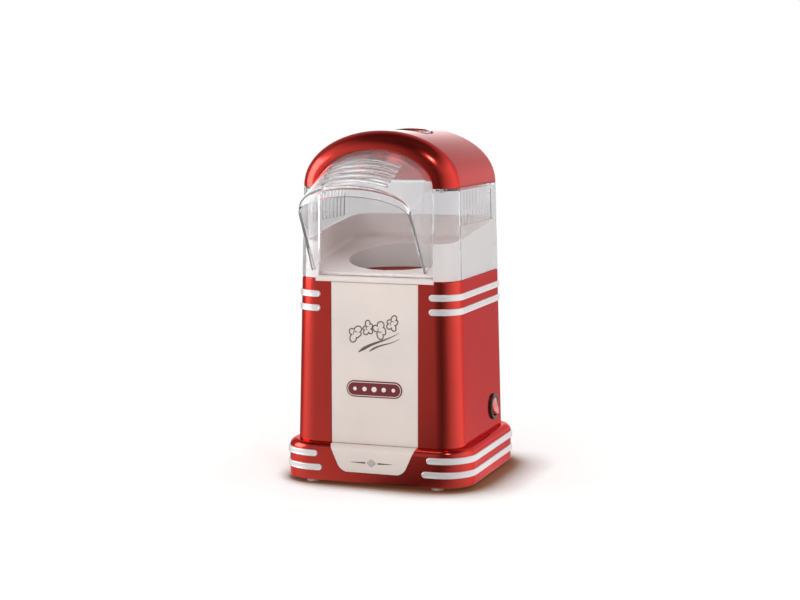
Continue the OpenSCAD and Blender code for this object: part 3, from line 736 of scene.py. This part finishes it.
def kernel(cx, cz, size, lobes, turn):
    """Outline of a popped kernel: a ring of round lobes of uneven size."""
    points = []
    for a in circle(14 * lobes):
        swell = 1 + 0.2 * sin(2 * a + turn) + 0.12 * cos(3 * a - turn)
        r = size * swell * (0.5 + 0.46 * abs(sin(lobes * a / 2)) ** 0.6)
        points.append((cx + r * cos(a + turn), cz + r * sin(a + turn)))
    return points


def build_panel_graphic():
    """Popped kernels tossed up over two rising strokes, in thin raised print."""
    middle, outline_width = 129.0, 1.05
    kernels = ((-17.0, 0.5, 6.6, 4, 0.3), (-5.6, 5.4, 5.6, 5, 1.1), (5.2, 4.4, 6.8, 4, 2.2),
               (16.2, 10.2, 6.0, 5, 0.7))
    strokes = ((-14.0, -15.0, 22.0, 2.6, 2.7), (-4.5, -14.2, 22.5, -2.4, 1.5))
    parts = []
    for cx, cz, size, lobes, turn in kernels:
        parts.append(printed(kernel(cx, middle + cz, size, lobes, turn), FRONT, outline_width, True))
        curl = [(cx + size * 0.3 * cos(a), middle + cz + size * 0.3 * sin(a))
                for a in (turn + 0.35 * k for k in range(11))]
        widths = [0.4 + 0.1 * min(k, 10 - k) for k in range(11)]
        parts.append(printed(curl, FRONT, widths, False))
    for x0, z0, x1, z1, thick in strokes:
        stroke = [(lerp(x0, x1, t), middle + lerp(z0, z1, t) + 4.2 * sin(pi * t) * (0.6 - t))
                  for t in fractions(24)]
        widths = [0.3 + thick * (1 - k / 24) * min(1.0, (k + 1) / 4) for k in range(25)]
        parts.append(printed(stroke, FRONT, widths, False))
    dress(make("panel_graphic", join(parts)), "dark_print")


def capsule(half_length, half_height, inset, middle, y):
    """Round-ended outline on the front, anticlockwise seen from the front."""
    r = half_height - inset
    points = []
    for sign in (1, -1):
        cx = sign * (half_length - half_height)
        for t in fractions(16):
            a = radians(180 * t - sign * 90)
            points.append(Vector((cx + r * cos(a), y, middle + r * sin(a))))
    return points


def build_badge():
    """Plain round-ended badge with a pale border and five beads."""
    half_length, half_height, middle = 25.0, 7.0, 82.6
    profile = [(0, 0.3), (0, -0.35), (0.12, -0.55), (0.35, -0.65)]
    rings = [capsule(half_length, half_height, inset, middle, FRONT + y) for inset, y in profile]
    dress(make("front_badge", skin(rings)), "maroon_print")
    face = FRONT - 0.65
    border = capsule(half_length, half_height, 1.3, middle, face)
    parts = [ribbon([(p, Vector((0, -1, 0))) for p in border], 0.5, True, 0.07, 0.2)]
    for i in range(5):
        x, r = (i - 2) * 8.6, 2.3 - 0.35 * abs(i - 2)
        place = Matrix.Translation((x, face, middle)) @ Matrix.Rotation(radians(90), 4, "X")
        parts.append(turned([(0, -0.2), (r, -0.2), (r, 0.1), (r - 0.3, 0.25), (0, 0.4)], place, 32))
    dress(make("badge_beads", join(parts)), "pale_print")


def build_plate_ornament():
    """Diamond in a diamond between two tapered bars, in thin raised print."""
    face, middle = plinth_low.y, 20.6
    diamond = [(0, 3.2), (3.6, 0), (0, -3.2), (-3.6, 0)]
    inner = [(x * 0.45, z * 0.45) for x, z in diamond]
    parts = []
    for outline in (diamond, inner):
        ring = []
        for (x0, z0), (x1, z1) in zip(outline, outline[1:] + outline[:1]):
            ring += [(lerp(x0, x1, t), middle + lerp(z0, z1, t)) for t in fractions(4)[:-1]]
        parts.append(printed(ring, face, 0.5, True))
    for sign in (-1, 1):
        bar = [(sign * lerp(5.6, 18.5, t), middle) for t in fractions(10)]
        widths = [1.5 - 0.12 * k for k in range(11)]
        parts.append(printed(bar, face, widths, False))
    dress(make("plate_ornament", join(parts)), "dark_print")


# ---- Roof ----

ROOF_WALL = 2.4
# The roof's straight sides end at SPRING, where its half ellipse starts.
SPRING = 254.0
RISE = roof_high.z - SPRING


def roof_arc(inset, angle, direction):
    """Section of the roof where its rounded end has turned through angle degrees."""
    a = radians(angle)
    shrink = inset + (CORNER - inset) * (1 - cos(a))
    reach = DEPTH_HIGH / 2 - CORNER + (CORNER - inset) * sin(a)
    half = HALF_HIGH - shrink
    return upright(arch(half, half, ROOF_Z, SPRING, RISE - shrink), ROOF_MID + direction * reach)


def roof_rim(inset):
    """Edge of the front opening, where the rounded front of the roof meets it."""
    points = []
    for x, z in arch(ARCH_HALF, ARCH_HALF, ROOF_Z, ROOF_Z, ARCH_RISE):
        side = max(z - SPRING, 0.0) / RISE
        shrink = HALF_HIGH - hypot(x, side * HALF_HIGH)
        turn = acos(max(-1.0, min(1.0, 1 - (shrink - inset) / (CORNER - inset))))
        reach = DEPTH_HIGH / 2 - CORNER + (CORNER - inset) * sin(turn)
        points.append(Vector((x, ROOF_MID - reach, z)))
    return points


def roof_height(x):
    """Height of the roof's upper surface, x from the middle."""
    return SPRING + RISE * sqrt(1 - (x / HALF_HIGH) ** 2)


def well_ring(radius, drop):
    """Circle round the cup axis that follows the roof, drop millimetres below it."""
    points = []
    for a in circle(72):
        x = radius * cos(a)
        points.append(Vector((x, AXIS_Y + radius * sin(a), roof_height(x) - drop)))
    return points


def flat_ring(radius, z):
    """Level circle round the cup axis."""
    return [Vector((radius * cos(a), AXIS_Y + radius * sin(a), z)) for a in circle(72)]


def roof_sections(inset):
    """Arcs from the closed rear round both rounded ends to the front opening."""
    rear = [roof_arc(inset, angle, 1) for angle in range(90, -1, -10)]
    front = [roof_arc(inset, angle, -1) for angle in range(0, 73, 8)]
    return rear + front + [roof_rim(inset)]


def build_roof():
    """Arched roof with the flared well that holds the cup."""
    obj = make("red_roof", arched_shell(roof_sections(0.0), roof_sections(ROOF_WALL), True))
    soften(obj, 0.5, 50)
    well, bottom = 26.2, cup_low.z - 3.6
    combine(obj, skin([flat_ring(well + 2, bottom), well_ring(well + 2, 1.2)]), "UNION")
    flare = ((0, 2.0), (0.25, 1.1), (0.8, 0.4), (1.7, 0.02), (2.2, -0.4))
    rings = [well_ring(well + grow, drop) for grow, drop in flare]
    combine(obj, skin([flat_ring(well, cup_low.z - 0.6), *rings,
                       flat_ring(well + 2.2, roof_high.z + 6)]))
    dress(obj, "red_lacquer", "dome_roof", body="cover")
    obj.data.materials[0] = LOOKS["roof_lacquer"]


def build_cup():
    """Tapered cup, turned from its hollow profile."""
    place = Matrix.Translation((0, AXIS_Y, cup_low.z))
    r, h = cup_high.x, cup_high.z - cup_low.z
    profile = [(0, 0.5), (r - 6, 0.5), (r - 5.4, 0), (r - 3.6, 0), (r - 2, 0.5), (r - 1, 2.2),
               (r - 0.35, h - 2.6), (r, h - 2.2), (r, h - 0.4), (r - 0.4, h), (r - 1.4, h),
               (r - 1.8, h - 0.5), (r - 2.75, 3.2), (r - 3.4, 2.2), (r - 4.6, 1.8), (0, 1.8)]
    cup = make("clear_measuring_cup", turned(profile, place))
    dress(cup, "cup_plastic", "measuring_cup", body="cup")


# ---- Clear cabin and hood ----

def build_cabin():
    """Clear walls with a rim under the roof, the front opening and the rows of side slots."""
    low, high = cabin_low.z, cabin_high.z
    rim, plate = 22.0, 2.0
    rings = [housing(low + drop, inset) for inset, drop in quarter(0.5, 2)]
    rings += [housing(high, 0.0), housing(high, rim), housing(high - plate, rim),
              housing(high - plate, CLEAR_WALL), housing(low, CLEAR_WALL), housing(low, 0.6)]
    obj = make("clear_cabin_shell", skin(rings, loop=True))

    combine(obj, block(ARCH_HALF, FRONT - 2, FRONT + 10, low - 2, high + 4))
    combine(obj, block(ARCH_HALF + 2.4, FRONT + CLEAR_WALL, FRONT + 25, high - 5, high + 4))
    slots = []
    slot_low, slot_high, half_width, pitch = 221.7, high - 4, 0.9, 8.7
    for i in range(11):
        middle = FRONT + 21 + i * pitch
        profile = [(half_width * cos(a), slot_low - half_width * sin(a))
                   for a in (pi * k / 10 for k in range(11))]
        profile += [(-half_width, slot_high), (half_width, slot_high)]
        slots.append(skin([[Vector((x, middle + y, z)) for y, z in profile] for x in (-80, 80)]))
    combine(obj, join(slots))
    soften(obj, 0.25, 50, 2)
    dress(obj, "clear_plastic", "clear_cabin", body="cover")


# The hood goes from its root at the roof to a fold, and from there to its lip. Fold and
# lip are arches, (half width, spring, rise, depth at the feet), in planes that lean forward.
LIP_TILT = tan(radians(33.8))
HOOD_FOOT = 183.5
LIP_TOP = 248.9
TIP_Y = hood_low.y + (LIP_TOP - HOOD_FOOT) * LIP_TILT
HOOD_LEGS = 5
HOOD_GAP = 0.5
FOOT_HALF = 50.0
FOLD = (48.5, 52.5, 21.0, TIP_Y + 5.5)
LIP = (48.0, 48.2, 17.2, TIP_Y)


def leaning(inset, half, spring, rise, y):
    """The fold or the lip, moved inward by inset."""
    outline = arch(half - inset, FOOT_HALF - inset, 0, spring, rise - inset, HOOD_LEGS)
    return [Vector((x, y - z * LIP_TILT, HOOD_FOOT + z)) for x, z in outline]


def hood_root(inset, y):
    half, rise = ARCH_HALF - HOOD_GAP - inset, ARCH_RISE - HOOD_GAP - inset
    return upright(arch(half, half, HOOD_FOOT + 5.5, ROOF_Z, rise, HOOD_LEGS), y)


def between(first, second, t):
    return [a.lerp(b, t) for a, b in zip(first, second)]


def hood_sections(inset):
    """Arcs of the hood from the roof over the fold to the lip, where its wall is thinner."""
    root = hood_root(inset, FRONT)
    fold, lip = leaning(inset, *FOLD), leaning(inset * 0.55, *LIP)
    sections = [hood_root(inset, FRONT + 6), root]
    sections += [between(root, fold, t) for t in fractions(8)[1:-1]]
    start, end = between(root, fold, 0.975), between(fold, lip, 0.16)
    sections += [between(between(start, fold, t), between(fold, end, t), t) for t in fractions(4)]
    return sections + [between(fold, lip, 0.5), between(fold, lip, 0.9), lip]


def hood_point(t, x):
    """Point on the hood's upper surface, t of the way from the roof to the fold."""
    fold_half, spring, rise, fold_y = FOLD
    half = lerp(ARCH_HALF - HOOD_GAP, fold_half, t)
    a = acos(x / half)
    upper = Vector((half * cos(a), FRONT, ROOF_Z + (ARCH_RISE - HOOD_GAP) * sin(a)))
    height = spring + rise * sin(a)
    lower = Vector((upper.x, fold_y - height * LIP_TILT, HOOD_FOOT + height))
    return upper.lerp(lower, t)


# Louvres across the top of the hood, from the roof forwards: (along, up) round each slot
# in a frame that tilts forward, and (forward, outward) round each raised blade.
LOUVRES = 5
LOUVRE_TILT = radians(28)
SLOT_SECTION = ((-1.5, -12), (1.5, -12), (1.5, 18), (-1.5, 18))
BLADE_SECTION = ((-2.3, -0.6), (-2.3, 0.45), (-0.6, 1.5), (1.9, 2.3), (2.7, 2.1), (2.4, 1.5),
                 (0.6, 1.0), (-0.9, 0.1), (-1.4, -0.6))


def louvre_slot(y, z):
    """Tool for one slot, centred at depth y and height z."""
    half = 28.6
    up = Vector((0, -sin(LOUVRE_TILT), cos(LOUVRE_TILT)))
    along = Vector((0, cos(LOUVRE_TILT), sin(LOUVRE_TILT)))
    return skin([[Vector((x, y, z)) + along * a + up * b for a, b in SLOT_SECTION]
                 for x in (-half, half)])


def louvre_blade(y):
    """Blade that follows the hood's arch, at the place where its crown has depth y."""
    half = 29.4
    crown_back, crown_front = hood_point(0, 0), hood_point(1, 0)
    t = (y - crown_back.y) / (crown_front - crown_back).y
    rings = []
    for x in (lerp(-half, half, s) for s in fractions(24)):
        point = hood_point(t, x)
        forward = (hood_point(t + 0.01, x) - point).normalized()
        normal = forward.cross(hood_point(t, x - 0.5) - point).normalized()
        if normal.z < 0:
            normal = -normal
        rings.append([point + forward * f + normal * n for f, n in BLADE_SECTION])
    return skin(rings)


def build_hood():
    """Clear hood with raised louvres, and the flange that holds it behind the opening."""
    wall = 1.6
    obj = make("clear_hood", arched_shell(hood_sections(0.0), hood_sections(wall), False))
    soften(obj, 0.4, 60, 2)
    places = [(FRONT - 18 - 8 * i, 276 - 4 * i) for i in range(LOUVRES)]
    combine(obj, join([louvre_slot(y, z) for y, z in places]))
    combine(obj, join([louvre_blade(y) for y, z in places]), "UNION")
    dress(obj, "clear_plastic", "chute_hood", body="cover", sharp=30)

    low, rear, thick, legs = 214.0, FRONT + 6, 1.6, 3
    outer, inner = [arch(ARCH_HALF + grow, ARCH_HALF + grow, low, ROOF_Z, ARCH_RISE + grow, legs)
                    for grow in (1.8, -0.4)]
    rings = [upright(outer, rear - thick), upright(inner, rear - thick), upright(inner, rear),
             upright(outer, rear)]
    dress(make("hood_flange", skin(list(zip(*rings)))), "clear_plastic", body="cover")


# ---- Chute liner ----

LINER_GAP = CLEAR_WALL + 0.6
LINER_WALL = 2.0


def sloped(inset, level, slope):
    """Housing line, moved inward by inset, that rises to the rear from a level at the front."""
    return [Vector((p.x, p.y, level + (p.y - FRONT) * slope)) for p in housing(level, inset)]


def liner_hole(radius, level, slope):
    """Circle round the cup axis, with points in the directions of those of the housing."""
    points = []
    for p in housing(BODY_TOP, LINER_GAP + LINER_WALL):
        direction = Vector((p.x, p.y - AXIS_Y)).normalized() * radius
        y = AXIS_Y + direction.y
        points.append(Vector((direction.x, y, level + (y - FRONT) * slope)))
    return points


def build_liner():
    """White liner whose walls run in a fillet into a sloping floor with the chamber's hole."""
    gap, thick = LINER_GAP, LINER_WALL
    rim_z, rim_slope = 206.0, tan(radians(6.5))
    floor_z, floor_slope = BODY_TOP + 1.5, tan(radians(10))
    rim = ((0, 0.7), (0.25, 0.15), (0.8, 0), (thick - 0.6, 0), (thick, 0.6))
    rings = [housing(BODY_TOP, gap), housing(BODY_TOP + 12, gap)]
    rings += [sloped(gap + inset, rim_z - drop, rim_slope) for inset, drop in rim]
    fillet = 5.0
    rings += [sloped(gap + thick + inset, floor_z + drop, floor_slope)
              for drop, inset in quarter(fillet, 6)]
    rings += [liner_hole(radius, floor_z - drop, floor_slope)
              for radius, drop in ((47.5, 0), (46.4, 0.5), (46, 1.6))]
    rings.append(liner_hole(46, BODY_TOP, 0))
    obj = make("white_chute_liner", skin(rings, loop=True))
    combine(obj, block(ARCH_HALF + 0.3, FRONT - 5, FRONT + 15, floor_z + 1, floor_z + 61))
    dress(obj, "white_plastic", "chute_liner")


def build_chute_lip():
    """Lip of the chute, rolled over the panel's top edge and carried on into the cabin."""
    low, top, turn, proud = liner_low.z, BODY_TOP + 2.5, 3.1, 0.9
    middle_y, middle_z = FRONT + turn - proud, top - turn
    roll = [(middle_y - turn * cos(a), middle_z + turn * sin(a)) for a in right_angle(10)]
    meeting, behind = (FRONT, middle_z + 2.18), FRONT + 5.9
    front = [(FRONT, low), (FRONT - proud + 0.3, low), (FRONT - proud, low + 0.3)]
    front += [p for p in roll if p[0] < FRONT] + [meeting]
    rear = [(FRONT - 0.1, BODY_TOP + 0.1), (FRONT - 0.1, middle_z + 2.1), meeting]
    rear += [p for p in roll if p[0] > FRONT] + [(behind, top), (behind, BODY_TOP + 0.1)]
    over, inside = [skin([[Vector((lerp(-half, half, t), y, z)) for y, z in outline]
                          for t in fractions(8)])
                    for half, outline in ((ARCH_HALF + 1.5, front), (ARCH_HALF - 0.6, rear))]
    lip = make("chute_lip", over)
    combine(lip, inside, "UNION")
    dress(lip, "cream_plastic", sharp=50)


# ---- Stage ----

# The camera looks at a point near the object's middle; lengths are in metres from here on.
AZIMUTH = radians(19.1635)
ELEVATION = radians(6.7918)
DISTANCE = 1.55619
AIM = Vector((0, 0.0252, 0.150164))
AIM_RIGHT = -0.002973


def add_camera():
    data = bpy.data.cameras.new("studio_camera")
    data.lens, data.sensor_width = 79.666, 36.0
    camera = bpy.data.objects.new("studio_camera", data)
    bpy.context.scene.collection.objects.link(camera)
    right = Vector((cos(AZIMUTH), sin(AZIMUTH), 0))
    back = Vector((sin(AZIMUTH) * cos(ELEVATION), -cos(AZIMUTH) * cos(ELEVATION), sin(ELEVATION)))
    camera.location = right * AIM_RIGHT + AIM + back * DISTANCE
    camera.rotation_euler = back.to_track_quat("Z", "Y").to_euler()
    bpy.context.scene.camera = camera


# Soft lights: name, place, width, height, watts, and the visibility that is off.
LIGHTS = (("glint_key", (0.52, -0.62, 1.28), 0.14, 0.14, 1.5, None),
          ("left_box", (-1.15, -0.3, 0.5), 0.85, 0.85, 9.0, "visible_diffuse"),
          ("top_box", (0.2, 0.5, 1.4), 0.9, 0.9, 2.5, "visible_glossy"),
          ("front_fill", (-0.3, -1.35, 0.75), 0.9, 0.7, 3.6, "visible_glossy"))
LIT_POINT = Vector((0.0, 0.02, 0.15))


def add_lights():
    for name, place, width, height, power, off in LIGHTS:
        data = bpy.data.lights.new(name, "AREA")
        data.shape = "RECTANGLE"
        data.size, data.size_y = width, height
        data.energy = power
        lamp = bpy.data.objects.new(name, data)
        lamp.location = place
        lamp.rotation_euler = (Vector(place) - LIT_POINT).to_track_quat("Z", "Y").to_euler()
        if off:
            setattr(lamp, off, False)
        bpy.context.scene.collection.objects.link(lamp)


# What polished surfaces mirror, by direction round the object: (degrees from +X, level)
STUDIO_ROUND = ((-180, 0.80), (-168, 0.95), (-150, 0.75), (-128, 0.52), (-105, 0.36), (-88, 0.14),
                (-68, 0.04), (-52, 0.16), (-30, 0.52), (0, 0.9), (25, 1.1), (48, 0.9), (72, 0.68),
                (110, 0.55), (150, 0.34), (168, 0.4), (180, 0.80))
# Levels of the even light, the floor's own glow, the mirrored surround overhead, and a
# low band behind the object, to its left and to its right.
AMBIENT = 0.72
FLOOR_GLOW = 0.3
TOP_LEVEL = 0.06
REAR_LEFT = 1.2
REAR_RIGHT = 0.35


def studio_round(tree, x, y):
    """Brightness by direction round the object; a new colour ramp has stops at 0 and 1."""
    position = ramp(tree, maths(tree, "ARCTAN2", y, x), -pi, pi)
    bands = wire(tree, "ValToRGB", {0: position})
    stops = bands.color_ramp.elements
    for degrees, _ in STUDIO_ROUND[1:-1]:
        stops.new((degrees + 180) / 360)
    for stop, (_, level) in zip(stops, STUDIO_ROUND):
        stop.color = (level, level, level, 1.0)
    return bands.outputs["Color"]


def add_floor():
    """Pale floor with a painted warm contact shadow, fading to plain white away from the object."""
    half, steps, thick = 8.0, 24, 0.02
    rows = [[Vector((lerp(-half, half, c), lerp(-half, half, r), 0)) / MM for c in fractions(steps)]
            for r in fractions(steps)]
    under = [[p - Vector((0, 0, thick / MM)) for p in row] for row in rows]
    floor = make("studio_floor", slab(rows, under))
    look = Look("studio_floor", Roughness=0.9, Emission_Strength=FLOOR_GLOW)
    tree = look.tree
    warm, pale_low, pale_high = (0.2, 0.08, 0.035), (0.88, 0.875, 0.87), (0.9, 0.895, 0.89)
    pale = look.blend(look.spread(look.noise(3, 2)), pale_low, pale_high)
    x, y, _ = wire(tree, "SeparateXYZ", {0: look.coords}).outputs
    openness = look.add("AmbientOcclusion", {"Distance": 0.045}).outputs["AO"]
    # The painted shadow is deeper on the right, so the openness leans with x.
    openness = maths(tree, "ADD", openness, ramp(tree, x, -0.1, 0.12, 0.1, -0.12))
    # Painted shadow: colour and glow go from pale to warm brown where the openness is low, near the object.
    painted_shadow = look.blend(ramp(tree, openness, 0.55, 0.87), warm, pale)
    look.feed("Base Color", painted_shadow)
    look.feed("Emission Color", painted_shadow)
    distance = look.add("VectorMath", {0: look.coords}, operation="LENGTH").outputs["Value"]
    far = ramp(tree, distance, 0.3, 0.8)
    white = look.add("Emission", {"Strength": 1.0}).outputs[0]
    mirrored = look.add("Emission", {"Color": studio_round(tree, x, y)}).outputs[0]
    seen = look.add("MixShader", {0: far, 1: look.shader.outputs[0], 2: white}).outputs[0]
    glossy = look.add("LightPath").outputs["Is Glossy Ray"]
    mixed = look.add("MixShader", {0: glossy, 1: seen, 2: mirrored}).outputs[0]
    tree.links.new(mixed, tree.nodes["Material Output"].inputs["Surface"])
    floor.data.materials.append(look.material)


def add_world():
    """White where the camera looks, soft even light, and studio bands for gloss."""
    world = bpy.data.worlds.new("studio")
    bpy.context.scene.world = world
    world.use_nodes = True
    tree = world.node_tree
    path = wire(tree, "LightPath").outputs
    direction = wire(tree, "TexCoord").outputs["Generated"]
    x, y, z = wire(tree, "SeparateXYZ", {0: direction}).outputs
    fade = ramp(tree, z, 0.6, 0.88, 1.0, TOP_LEVEL)
    bands = maths(tree, "MULTIPLY", studio_round(tree, x, y), fade)
    behind = ramp(tree, y, 0.6, 0.9)
    side = ramp(tree, x, -0.05, 0.16, REAR_LEFT, REAR_RIGHT)
    low = ramp(tree, z, 0.13, 0.34, 1.0, 0.0)
    rear_band = maths(tree, "MULTIPLY", maths(tree, "MULTIPLY", behind, low), side)
    gloss = maths(tree, "ADD", bands, rear_band)
    level = wire(tree, "Mix", {0: path["Is Glossy Ray"], 2: AMBIENT, 3: gloss}).outputs[0]
    seen = maths(tree, "MAXIMUM", path["Is Camera Ray"], path["Is Transmission Ray"])
    level = wire(tree, "Mix", {0: seen, 2: level, 3: 1.0}).outputs[0]
    background = tree.nodes["Background"]
    background.inputs["Color"].default_value = (1.0, 1.0, 1.0, 1.0)
    tree.links.new(level, background.inputs["Strength"])


# ---- Building ----

add_camera()
build_plinth()
build_feet()
build_gland()
build_trims()
build_housing()
build_switch()
build_panel_graphic()
build_badge()
build_plate_ornament()
build_roof()
build_cup()
build_cabin()
build_hood()
build_liner()
build_chute_lip()

# CAD nodes that stay in view keep their shape and take the material of their slot.
NODE_SLOTS = {part["node"]: part["material_slot"] for part in frame["record"]["subparts"]}
for name, node in frame["nodes"].items():
    for holder in node.material_slots:
        holder.material = LOOKS[NODE_SLOTS[name]]

add_floor()
add_world()
add_lights()
bpy.context.scene.view_settings.view_transform = "Standard"
